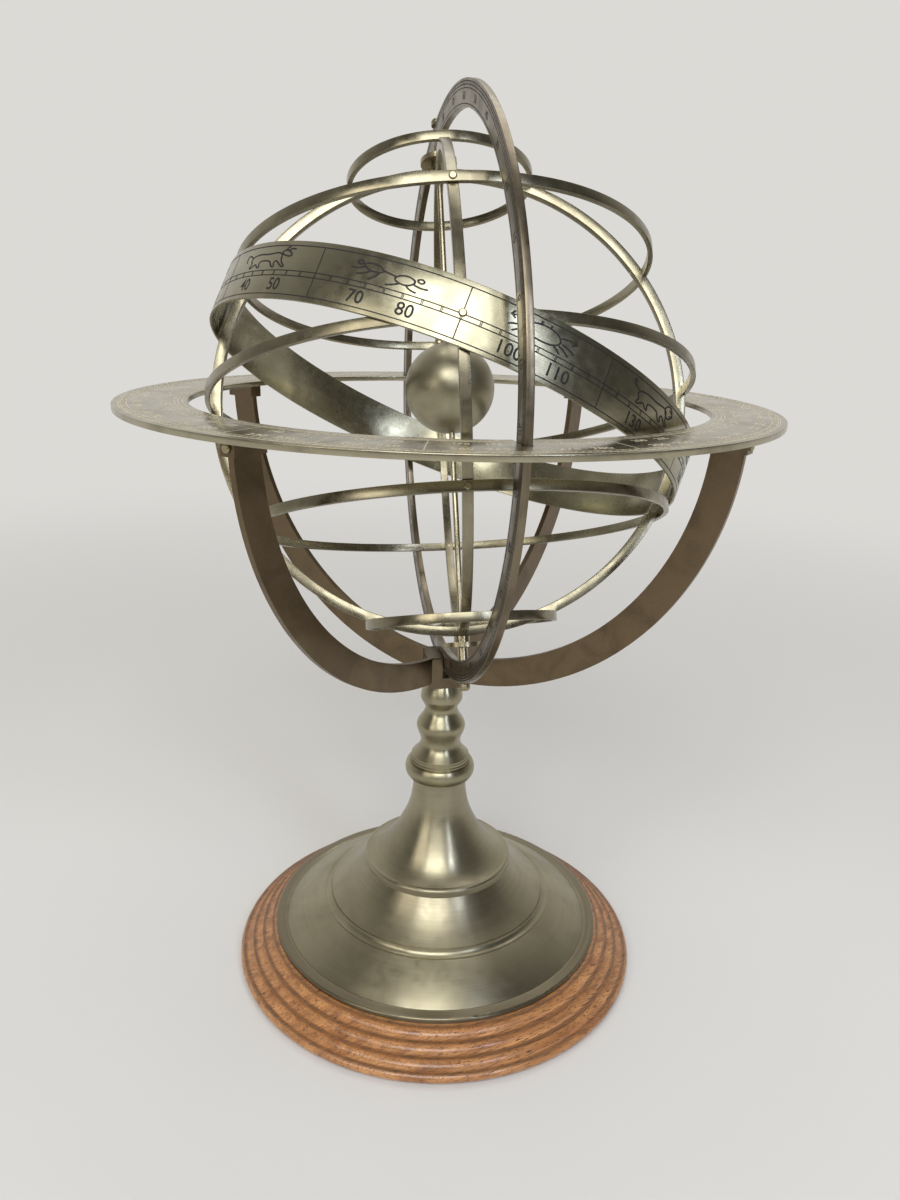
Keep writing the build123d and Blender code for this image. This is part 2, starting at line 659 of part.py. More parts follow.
rivets = []
for place, length in rivet_places:
    with BuildPart() as rivet:
        with BuildSketch(place):
            Circle(RIVET_RADIUS)
        extrude(amount=length)
        with BuildSketch(place.offset(length)):
            Circle(RIVET_HEAD_RADIUS)
        extrude(amount=RIVET_HEAD_HEIGHT, taper=RIVET_HEAD_TAPER)
    rivets.append(rivet.part)
save(Compound(children=rivets), "cage_rivets")
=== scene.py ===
"""Looks of the armillary sphere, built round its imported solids.

Sizes are in millimetres and angles in degrees unless a name says otherwise. Meshes are in metres,
in the row frame: +Z up, the front towards -Y, and the meridian ring in the YZ plane.
"""

import logging
import math
from collections.abc import Callable, Sequence
from dataclasses import dataclass, field
from enum import Enum

import bmesh
import bpy
from mathutils import Matrix, Vector


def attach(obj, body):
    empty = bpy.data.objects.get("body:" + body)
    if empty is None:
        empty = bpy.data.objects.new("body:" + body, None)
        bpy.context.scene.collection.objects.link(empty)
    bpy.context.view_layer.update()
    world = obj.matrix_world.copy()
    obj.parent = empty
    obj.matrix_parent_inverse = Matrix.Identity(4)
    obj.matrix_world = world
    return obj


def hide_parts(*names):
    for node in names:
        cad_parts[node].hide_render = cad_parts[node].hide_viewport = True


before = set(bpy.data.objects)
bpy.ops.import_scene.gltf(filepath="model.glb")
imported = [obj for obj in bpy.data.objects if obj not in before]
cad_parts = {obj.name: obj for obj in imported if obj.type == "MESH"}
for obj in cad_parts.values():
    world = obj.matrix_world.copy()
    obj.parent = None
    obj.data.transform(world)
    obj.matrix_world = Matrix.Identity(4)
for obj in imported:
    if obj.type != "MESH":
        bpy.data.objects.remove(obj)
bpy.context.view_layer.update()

log = logging.getLogger("armillary")

MM = 0.001
CENTRE = Vector((0, 0, 329))
POLE_TILT = 22.1
CAGE_TURN = -9.1
OBLIQUITY = 23.44
SMOOTH = 40.0            # edges that turn less are shaded smooth, in degrees
NO_RIM = 1000.0          # a radius past every piece
RING_STEPS = 360
STRIP_STEPS = 192
SIGN = 30                # degrees of the zodiac in each sign
BLOCKS = 8               # of the zodiac's scale in each sign


def turned(angle: float, axis: str) -> Matrix:
    """Return a rotation about a named axis, the angle in degrees."""
    return Matrix.Rotation(math.radians(angle), 4, axis)


UPRIGHT = Matrix.Identity(4)
LEVEL = Matrix.Translation(CENTRE)
MERIDIAN = LEVEL @ turned(90, "Y")
POLAR = LEVEL @ turned(-POLE_TILT, "X")
CAGE = POLAR @ turned(CAGE_TURN - 90, "Z")
ZODIAC = CAGE @ turned(-OBLIQUITY, "X")


def linear(colour: str) -> tuple[float, float, float, float]:
    """Turn an sRGB hex colour into the linear colour that a shader takes.

    Args:
        colour: six hex digits, such as "8a7b5a".

    Returns:
        Red, green, blue and an alpha of 1.
    """
    shares = [int(colour[at:at + 2], 16) / 255 for at in (0, 2, 4)]
    toned = [s / 12.92 if s <= 0.04045 else ((s + 0.055) / 1.055) ** 2.4 for s in shares]
    return (*toned, 1.0)


def add_node(tree: bpy.types.NodeTree, kind: str, sockets: dict[str | int, object] | None = None,
             **settings: object) -> bpy.types.Node:
    """Add a shader node with its settings, socket values and links.

    Args:
        tree: the material's or world's node tree.
        kind: the node's type name.
        sockets: input name or number to a value, or to an output socket to link.
        **settings: the node's own properties.

    Returns:
        The new node.
    """
    made = tree.nodes.new(kind)
    for name, value in settings.items():
        setattr(made, name, value)
    for name, value in (sockets or {}).items():
        if isinstance(value, bpy.types.NodeSocket):
            tree.links.new(value, made.inputs[name])
        else:
            made.inputs[name].default_value = value
    return made


def blank_material(name: str) -> tuple[bpy.types.Material, bpy.types.NodeTree]:
    """Make an empty node material.

    Args:
        name: the material's name.

    Returns:
        The material and its node tree.
    """
    material = bpy.data.materials.new(name)
    material.use_nodes = True
    material.node_tree.nodes.clear()
    return material, material.node_tree


def placed_mm(tree: bpy.types.NodeTree, place: Matrix) -> bpy.types.NodeSocket:
    """Return Object coordinates in millimetres, seen from a piece's own frame.

    Args:
        tree: the material's node tree.
        place: the frame, with its place in millimetres.

    Returns:
        The vector socket.
    """
    back = place.inverted()
    where = add_node(tree, "ShaderNodeTexCoord")
    return add_node(tree, "ShaderNodeMapping", {
        "Vector": where.outputs["Object"],
        "Scale": (1 / MM,) * 3,
        "Rotation": back.to_euler(),
        "Location": back.to_translation(),
    }).outputs["Vector"]


@dataclass(frozen=True)
class AgedBrass:
    """Brass that was turned or rolled, darkened with patina and rubbed back, then lacquered.

    The eye sees an olive metal with fine marks along its turning, brown clouds where the patina
    is left, painted shade in the creases, and paler worn edges.
    """

    name: str
    metal: str
    patina: str
    worn: str
    roughness: tuple[float, float] = (0.26, 0.4)
    clouding: float = 0.5        # share of patina in the darkest clouds
    cloud: float = 22.0
    mark_length: float = 30.0
    mark_pitch: float = 0.5      # real marks lie near 0.1 mm apart; drawn coarser, so that they show
    mark_depth: float = 0.002
    anisotropy: float = 0.0      # turned marks spread a highlight across them
    rim: float = NO_RIM          # the radius past which the rolled rim is painted darker, as painted shade
    place: Matrix = field(default_factory=lambda: UPRIGHT)

    def build(self) -> bpy.types.Material:
        """Build the material from marks round the piece's axis, clouds, painted crease shade and edges.

        Returns:
            The material.
        """
        material, tree = blank_material(self.name)
        at = placed_mm(tree, self.place)
        flat = add_node(tree, "ShaderNodeVectorMath", {0: at, 1: (1, 1, 0)}, operation="MULTIPLY")
        radius = add_node(tree, "ShaderNodeVectorMath", {0: flat.outputs[0]}, operation="LENGTH")
        drawn = add_node(tree, "ShaderNodeVectorMath", {
            0: at, 1: (1 / self.mark_length, 1 / self.mark_length, 1 / self.mark_pitch),
        }, operation="MULTIPLY")
        across = add_node(tree, "ShaderNodeMath", {
            0: radius.outputs["Value"], 1: 1 / self.mark_pitch,
        }, operation="MULTIPLY")
        marks = add_node(tree, "ShaderNodeTexNoise", {
            "Vector": drawn.outputs[0], "W": across.outputs[0], "Scale": 1.0, "Detail": 2.0,
        }, noise_dimensions="4D")
        clouds = add_node(tree, "ShaderNodeTexNoise", {
            "Vector": at, "Scale": 1 / self.cloud, "Detail": 3.0, "Roughness": 0.5,
            "Distortion": 0.6,
        })
        specks = add_node(tree, "ShaderNodeTexNoise", {"Vector": at, "Scale": 0.22, "Detail": 3.0})
        # painted shade: ambient occlusion darkens creases and joints between parts towards the patina colour
        crease_shade = add_node(tree, "ShaderNodeAmbientOcclusion", {"Distance": 2.0 * MM}, samples=16)
        edge = add_node(tree, "ShaderNodeAmbientOcclusion", {"Distance": 0.4 * MM}, samples=16, inside=True)
        clouded = add_node(tree, "ShaderNodeMapRange", {
            "Value": clouds.outputs["Fac"], "From Min": 0.44, "From Max": 0.76, "To Max": self.clouding,
        })
        colour = linear(self.metal)
        for value, low, high, first, last, over in (
            # inside the rim, patina clouds; past the rim, painted shade as a fixed share of the patina colour
            (radius.outputs["Value"], self.rim - 1, self.rim + 1, clouded.outputs[0], 0.6, self.patina),
            (marks.outputs["Fac"], 0.3, 0.7, 0.0, 0.14, self.worn),
            # painted shade in the creases
            (crease_shade.outputs["AO"], 0.1, 0.55, 0.95, 0.0, self.patina),
            (edge.outputs["AO"], 0.3, 0.7, 0.4, 0.0, self.worn),
        ):
            share = add_node(tree, "ShaderNodeMapRange", {
                "Value": value, "From Min": low, "From Max": high, "To Min": first, "To Max": last,
            })
            colour = add_node(tree, "ShaderNodeMix", {
                "Factor": share.outputs[0], "A": colour, "B": linear(over),
            }, data_type="RGBA").outputs[2]
        dull = add_node(tree, "ShaderNodeMath", {
            0: clouds.outputs["Fac"], 1: specks.outputs["Fac"],
        }, operation="ADD")
        rough = add_node(tree, "ShaderNodeMapRange", {
            "Value": dull.outputs[0], "From Min": 0.7, "From Max": 1.3,
            "To Min": self.roughness[0], "To Max": self.roughness[1],
        })
        bump = add_node(tree, "ShaderNodeBump", {
            "Strength": 1.0, "Distance": self.mark_depth * MM, "Height": marks.outputs["Fac"],
        })
        sockets = {
            "Base Color": colour, "Metallic": 1.0, "Roughness": rough.outputs[0],
            "Normal": bump.outputs[0], "Anisotropic": self.anisotropy,
            "Coat Weight": 0.12, "Coat Roughness": 0.2,
        }
        if self.anisotropy:
            around = add_node(tree, "ShaderNodeTangent", direction_type="RADIAL", axis="Z")
            sockets["Tangent"] = around.outputs[0]
            sockets["Anisotropic Rotation"] = 0.25
        shader = add_node(tree, "ShaderNodeBsdfPrincipled", sockets)
        add_node(tree, "ShaderNodeOutputMaterial", {"Surface": shader.outputs[0]})
        return material


@dataclass(frozen=True)
class EtchFill:
    """Etched lines, left dark with wax or bare and pale, matt beside the polished metal."""

    name: str
    colour: str
    metallic: float
    roughness: float

    def build(self) -> bpy.types.Material:
        """Build the material.

        Returns:
            The material.
        """
        material, tree = blank_material(self.name)
        at = placed_mm(tree, UPRIGHT)
        grain = add_node(tree, "ShaderNodeTexNoise", {"Vector": at, "Scale": 1.6, "Detail": 3.0})
        shade = add_node(tree, "ShaderNodeMapRange", {
            "Value": grain.outputs["Fac"], "From Min": 0.3, "From Max": 0.7, "To Min": 0.65, "To Max": 1.25,
        })
        tone = add_node(tree, "ShaderNodeVectorMath", {
            0: linear(self.colour)[:3], "Scale": shade.outputs[0],
        }, operation="SCALE")
        shader = add_node(tree, "ShaderNodeBsdfPrincipled", {
            "Base Color": tone.outputs[0], "Metallic": self.metallic, "Roughness": self.roughness,
        })
        add_node(tree, "ShaderNodeOutputMaterial", {"Surface": shader.outputs[0]})
        return material


@dataclass(frozen=True)
class VarnishedOak:
    """Stained oak under satin varnish: long growth lines, short dark pores, painted shade in the grooves."""

    name: str = "varnished_oak"
    light: str = "cc925a"
    middle: str = "a06a3c"
    dark: str = "3a200e"
    grain_turn: float = 18.0
    growth: tuple[float, float] = (90, 7)            # length and breadth of a growth line
    fibre: tuple[float, float] = (40, 1.1)
    pore: tuple[float, float] = (5, 0.45)
    bead_step: tuple[float, float] = (5.71, 4.6)     # from one groove to the next, inwards and up
    first_groove: tuple[float, float] = (115.75, 6.2)

    def build(self) -> bpy.types.Material:
        """Build the material.

        Returns:
            The material.
        """
        material, tree = blank_material(self.name)
        at = placed_mm(tree, turned(self.grain_turn, "Z"))
        grains = []
        for (length, breadth), detail, distortion in (
            (self.growth, 4.0, 0.35), (self.fibre, 3.0, 0.0), (self.pore, 1.0, 0.0),
        ):
            drawn = add_node(tree, "ShaderNodeVectorMath", {
                0: at, 1: (1 / length, 1 / breadth, 1 / breadth),
            }, operation="MULTIPLY")
            grains.append(add_node(tree, "ShaderNodeTexNoise", {
                "Vector": drawn.outputs[0], "Scale": 1.0, "Detail": detail, "Distortion": distortion,
            }).outputs["Fac"])
        bands, fibres, pores = grains
        figure = add_node(tree, "ShaderNodeMapRange", {
            "Value": bands, "From Min": 0.36, "From Max": 0.64,
        })
        lines = add_node(tree, "ShaderNodeMapRange", {
            "Value": fibres, "From Min": 0.45, "From Max": 0.7, "To Max": 0.45,
        })
        pits = add_node(tree, "ShaderNodeMapRange", {
            "Value": pores, "From Min": 0.6, "From Max": 0.7,
        })
        flat = add_node(tree, "ShaderNodeVectorMath", {0: at, 1: (1, 1, 0)}, operation="MULTIPLY")
        radius = add_node(tree, "ShaderNodeVectorMath", {0: flat.outputs[0]}, operation="LENGTH")
        height = add_node(tree, "ShaderNodeSeparateXYZ", {0: at})
        step_in, step_up = self.bead_step
        pitch = math.hypot(step_in, step_up)
        groove_radius, groove_height = self.first_groove
        inwards = add_node(tree, "ShaderNodeMath", {
            0: radius.outputs["Value"], 1: -step_in / pitch,
            2: (groove_radius * step_in - groove_height * step_up) / pitch,
        }, operation="MULTIPLY_ADD")
        climbed = add_node(tree, "ShaderNodeMath", {
            0: height.outputs["Z"], 1: step_up / pitch, 2: inwards.outputs[0],
        }, operation="MULTIPLY_ADD")
        from_groove = add_node(tree, "ShaderNodeMath", {
            0: climbed.outputs[0], 1: pitch / 2,
        }, operation="PINGPONG")
        soft = add_node(tree, "ShaderNodeMath", {
            0: from_groove.outputs[0], 1: figure.outputs[0],
        }, operation="ADD")
        # painted shade: darker in the grooves between the beads, lighter towards the bead tops
        groove_shade = add_node(tree, "ShaderNodeMapRange", {
            "Value": soft.outputs[0], "From Min": 0.4, "From Max": 1.8, "To Min": 0.75, "To Max": 0.0,
        })
        colour = linear(self.light)
        for share, over in ((figure, self.middle), (lines, self.dark), (pits, self.dark), (groove_shade, self.dark)):
            colour = add_node(tree, "ShaderNodeMix", {
                "Factor": share.outputs[0], "A": colour, "B": linear(over),
            }, data_type="RGBA").outputs[2]
        bump = add_node(tree, "ShaderNodeBump", {
            "Strength": 1.0, "Distance": 0.06 * MM, "Height": pits.outputs[0],
        }, invert=True)
        shader = add_node(tree, "ShaderNodeBsdfPrincipled", {
            "Base Color": colour, "Roughness": 0.4, "Normal": bump.outputs[0],
            "Coat Weight": 0.6, "Coat Roughness": 0.18,
        })
        add_node(tree, "ShaderNodeOutputMaterial", {"Surface": shader.outputs[0]})
        return material


@dataclass(frozen=True)
class BaizeFelt:
    """Green baize, a napped wool felt, soft and quite without shine."""

    name: str = "baize_felt"
    colour: str = "1f3a28"

    def build(self) -> bpy.types.Material:
        """Build the material.

        Returns:
            The material.
        """
        material, tree = blank_material(self.name)
        at = placed_mm(tree, UPRIGHT)
        nap = add_node(tree, "ShaderNodeTexNoise", {
            "Vector": at, "Scale": 1.2, "Detail": 6.0, "Roughness": 0.8,
        })
        shade = add_node(tree, "ShaderNodeMapRange", {
            "Value": nap.outputs["Fac"], "From Min": 0.3, "From Max": 0.7, "To Min": 0.55, "To Max": 1.5,
        })
        tone = add_node(tree, "ShaderNodeVectorMath", {
            0: linear(self.colour)[:3], "Scale": shade.outputs[0],
        }, operation="SCALE")
        bump = add_node(tree, "ShaderNodeBump", {
            "Strength": 1.0, "Distance": 0.3 * MM, "Height": nap.outputs["Fac"],
        })
        shader = add_node(tree, "ShaderNodeBsdfPrincipled", {
            "Base Color": tone.outputs[0], "Roughness": 0.95, "Normal": bump.outputs[0],
            "Sheen Weight": 0.4,
        })
        add_node(tree, "ShaderNodeOutputMaterial", {"Surface": shader.outputs[0]})
        return material


@dataclass(frozen=True)
class ZincedSteel:
    """Zinc-plated steel of a bought rod, nut and washer: pale, with faint drawn lines."""

    name: str = "zinced_steel"
    colour: str = "a9aaa8"

    def build(self) -> bpy.types.Material:
        """Build the material.

        Returns:
            The material.
        """
        material, tree = blank_material(self.name)
        at = placed_mm(tree, UPRIGHT)
        bloom = add_node(tree, "ShaderNodeTexNoise", {"Vector": at, "Scale": 0.5, "Detail": 4.0})
        rough = add_node(tree, "ShaderNodeMapRange", {
            "Value": bloom.outputs["Fac"], "From Min": 0.3, "From Max": 0.7, "To Min": 0.3, "To Max": 0.5,
        })
        shader = add_node(tree, "ShaderNodeBsdfPrincipled", {
            "Base Color": linear(self.colour), "Metallic": 1.0, "Roughness": rough.outputs[0],
        })
        add_node(tree, "ShaderNodeOutputMaterial", {"Surface": shader.outputs[0]})
        return material


# ---------------------------------------------------------------- mesh building


def to_object(name: str, bm: bmesh.types.BMesh, smooth: float = SMOOTH) -> bpy.types.Object:
    """Write a mesh that was built in millimetres into an object in metres.

    Args:
        name: the piece's name.
        bm: the mesh, which is freed.
        smooth: the angle up to which edges are shaded smooth.

    Returns:
        The object, at the origin.
    """
    bm.transform(Matrix.Scale(MM, 4))
    data = bpy.data.meshes.new(name)
    bm.to_mesh(data)
    bm.free()
    for polygon in data.polygons:
        polygon.use_smooth = True
    data.set_sharp_from_angle(angle=math.radians(smooth))
    made = bpy.data.objects.new(name, data)
    bpy.context.scene.collection.objects.link(made)
    return made


def spun(profile: Sequence[tuple[float, float]], place: Matrix, steps: int,
         soften: float = 0.0) -> bmesh.types.BMesh:
    """Spin a closed outline a full turn about its frame's Z axis.

    Args:
        profile: radius and height of each corner, in order round the outline.
        place: the frame that the ring is put in.
        steps: the number of steps round the turn.
        soften: the size of the rounding on each corner.

    Returns:
        The ring's mesh, in millimetres.
    """
    bm = bmesh.new()
    corners = [bm.verts.new((radius, 0, height)) for radius, height in profile]
    for here, there in zip(corners, corners[1:] + corners[:1]):
        bm.edges.new((here, there))
    if soften:
        bmesh.ops.bevel(bm, geom=corners, offset=soften, segments=3, affect="VERTICES", profile=0.5,
                        material=-1)
    bmesh.ops.spin(bm, geom=bm.verts[:] + bm.edges[:], cent=(0, 0, 0), axis=(0, 0, 1),
                   angle=math.tau, steps=steps, use_merge=True)
    bmesh.ops.recalc_face_normals(bm, faces=bm.faces[:])
    bm.transform(place)
    return bm


def bar(inner: float, outer: float, low: float, high: float) -> list[tuple[float, float]]:
    """Return the outline of a flat ring between two radii and two heights."""
    return [(inner, low), (outer, low), (outer, high), (inner, high)]


def cut(piece: bpy.types.Object, *tools: bpy.types.Object) -> None:
    """Cut tools out of a piece, apply the cuts and delete the tools.

    Args:
        piece: the piece, which keeps its name.
        *tools: the tools, which are deleted.
    """
    for tool in tools:
        step = piece.modifiers.new("cut", "BOOLEAN")
        step.operation, step.solver, step.object = "DIFFERENCE", "EXACT", tool
    bpy.context.view_layer.update()
    graph = bpy.context.evaluated_depsgraph_get()
    done = bpy.data.meshes.new_from_object(piece.evaluated_get(graph))
    piece.modifiers.clear()
    old, piece.data = piece.data, done
    bpy.data.meshes.remove(old)
    for tool in tools:
        bpy.data.meshes.remove(tool.data)
    done.set_sharp_from_angle(angle=math.radians(SMOOTH))


def block(name: str, size: Sequence[float], place: Matrix) -> bpy.types.Object:
    """Make a plain block, as a cutting tool.

    Args:
        name: the block's name.
        size: its three widths.
        place: the frame that it is centred in.

    Returns:
        The block.
    """
    bm = bmesh.new()
    bmesh.ops.create_cube(bm, size=1.0)
    bmesh.ops.scale(bm, vec=size, verts=bm.verts[:])
    bm.transform(place)
    return to_object(name, bm)


def dress(piece: bpy.types.Object, material: bpy.types.Material) -> None:
    """Give a piece one material in all its slots.

    Args:
        piece: the piece, new or packed.
        material: its finish.
    """
    slots = piece.data.materials
    slots.clear()
    slots.append(material)
    for polygon in piece.data.polygons:
        polygon.material_index = 0


def dress_nodes(finishes: dict[str, bpy.types.Material]) -> None:
    """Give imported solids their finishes.

    Args:
        finishes: each node's name and its finish.
    """
    for name, material in finishes.items():
        dress(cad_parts[name], material)
        log.info("%s keeps its solid, in %s", name, material.name)


def settle(piece: bpy.types.Object, material: bpy.types.Material, body: str, slot: str,
           *nodes: str) -> None:
    """Finish a new piece: its material, its body, its slot and the nodes that it stands for.

    Args:
        piece: the new piece.
        material: its finish.
        body: the body that it moves with.
        slot: not used.
        *nodes: the nodes that it replaces.
    """
    dress(piece, material)
    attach(piece, body)
    if nodes:
        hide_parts(*nodes)
    log.info("%s rides on %s, %d faces", piece.name, body, len(piece.data.polygons))


# ---------------------------------------------------------------- engraving

Flat = tuple[float, float]
FIGURE_SHARE = 0.73      # height of a number in a font of size 1
PRESS = 10               # flattens a stroke onto its two faces
WELD = 0.002


@dataclass
class Engraver:
    """Draws lines, figures and numbers flat, and lays them into the face of a ring.

    A drawing's x runs along the ring, its y across it, and its z stands out of the face.
    """

    name: str
    lay: Callable[[Vector], Vector]
    proud: float = 0.03
    depth: float = 0.1

    def __post_init__(self) -> None:
        """Start with an empty drawing."""
        self.drawing = bmesh.new()

    def take(self, thing: bpy.types.ID, at: Matrix = UPRIGHT) -> None:
        """Add a curve or a text to the drawing as a mesh, and delete it.

        Args:
            thing: the curve or text.
            at: its place and turn in the drawing.
        """
        holder = bpy.data.objects.new("stroke", thing)
        bpy.context.scene.collection.objects.link(holder)
        bpy.context.view_layer.update()
        mesh = bpy.data.meshes.new_from_object(holder.evaluated_get(bpy.context.evaluated_depsgraph_get()))
        mesh.transform(at)
        self.drawing.from_mesh(mesh)
        bpy.data.objects.remove(holder)
        bpy.data.curves.remove(thing)
        bpy.data.meshes.remove(mesh)

    def strokes(self, paths: Sequence[Sequence[Flat]], width: float, curved: bool = False,
                at: Matrix = UPRIGHT, closed: bool = False) -> None:
        """Draw lines of one width.

        Args:
            paths: the points of each line.
            width: the lines' width.
            curved: whether a line bends smoothly past its points.
            at: where the lines go in the drawing.
            closed: whether each line returns to its first point.
        """
        curve = bpy.data.curves.new("strokes", "CURVE")
        curve.dimensions = "3D"
        curve.bevel_depth = width / math.sqrt(2)
        curve.bevel_resolution = 0
        curve.use_fill_caps = True
        curve.resolution_u = 3
        for path in paths:
            spline = curve.splines.new("NURBS" if curved else "POLY")
            spline.points.add(len(path) - 1)
            for point, (x, y) in zip(spline.points, path):
                point.co, point.tilt = (x, y, 0, 1), math.radians(45)
            if curved:
                spline.order_u = 3
                spline.use_endpoint_u = not closed
            spline.use_cyclic_u = closed
        self.take(curve, at)

    def text(self, words: str, height: float, at: Matrix, bold: float = 0.0) -> None:
        """Draw a plain number, centred on its place.

        Args:
            words: the number.
            height: the height of its figures.
            at: its place and turn in the drawing.
            bold: how much wider its strokes are drawn.
        """
        font = bpy.data.curves.new("number", "FONT")
        font.body = words
        font.size = height / FIGURE_SHARE
        font.align_x, font.align_y = "CENTER", "CENTER"
        font.extrude = self.depth
        font.offset = bold
        font.resolution_u = 3
        self.take(font, at)

    def piece(self) -> bpy.types.Object:
        """Press the drawing to its depth and lay it into the ring.

        Returns:
            The piece.
        """
        bm = self.drawing
        high = self.proud
        for vert in bm.verts:
            vert.co.z = max(high - self.depth, min(high, vert.co.z * PRESS))
        bmesh.ops.remove_doubles(bm, verts=bm.verts[:], dist=WELD)
        for vert in bm.verts:
            vert.co = self.lay(vert.co)
        return to_object(self.name, bm, smooth=20)


def round_the_band(radius: float) -> Callable[[Vector], Vector]:
    """Return the laying of a drawing onto the zodiac band's outer face.

    Args:
        radius: the face's radius.

    Returns:
        A function from a point of the drawing to its place.
    """
    def lay(at: Vector) -> Vector:
        """Lay one point."""
        angle, out = at.x / radius, radius + at.z
        return ZODIAC @ Vector((out * math.cos(angle), out * math.sin(angle), at.y))
    return lay


def on_the_horizon(middle: float, top: float) -> Callable[[Vector], Vector]:
    """Return the laying of a drawing onto the horizon ring's upper face, its top inwards.

    Args:
        middle: the radius of the drawing's zero line.
        top: the face's height.

    Returns:
        A function from a point of the drawing to its place.
    """
    def lay(at: Vector) -> Vector:
        """Lay one point."""
        angle, out = at.x / middle, middle - at.y
        return Vector((out * math.cos(angle), out * math.sin(angle), top + at.z))
    return lay


def on_the_meridian(middle: float, half: float, side: int) -> Callable[[Vector], Vector]:
    """Return the laying of a drawing onto one face of the meridian ring, its top outwards.

    Args:
        middle: the radius of the drawing's zero line.
        half: half the ring's thickness.
        side: 1 for the right face and -1 for the left.

    Returns:
        A function from a point of the drawing to its place.
    """
    def lay(at: Vector) -> Vector:
        """Lay one point."""
        angle, out = at.x / middle, middle + at.y
        along, up = side * out * math.sin(angle), out * math.cos(angle)
        return CENTRE + Vector((side * (half + at.z), along, up))
    return lay


def points(words: str) -> list[Flat]:
    """Read the points of a stroke, written as x,y pairs with spaces between them."""
    return [tuple(float(part) for part in pair.split(",")) for pair in words.split()]


BEAST = (
    "-9,1.2 -5,2 0,1.5 4.6,2.4 6.8,1.4 6.6,0 7.4,-2 9.4,-3.6 8,-3.9 5.8,-1.9 4.2,-1 3.6,-2.4 4.6,-3.8"
    " 3.2,-3.9 2,-2.2 1.4,-1.2 -3.6,-0.9 -4.4,-2.4 -3.4,-3.8 -4.8,-3.9 -6,-2.2 -7.4,-2.8 -8.6,-3.9"
    " -9.9,-3.6 -8.4,-2 -9.8,-0.4"
)


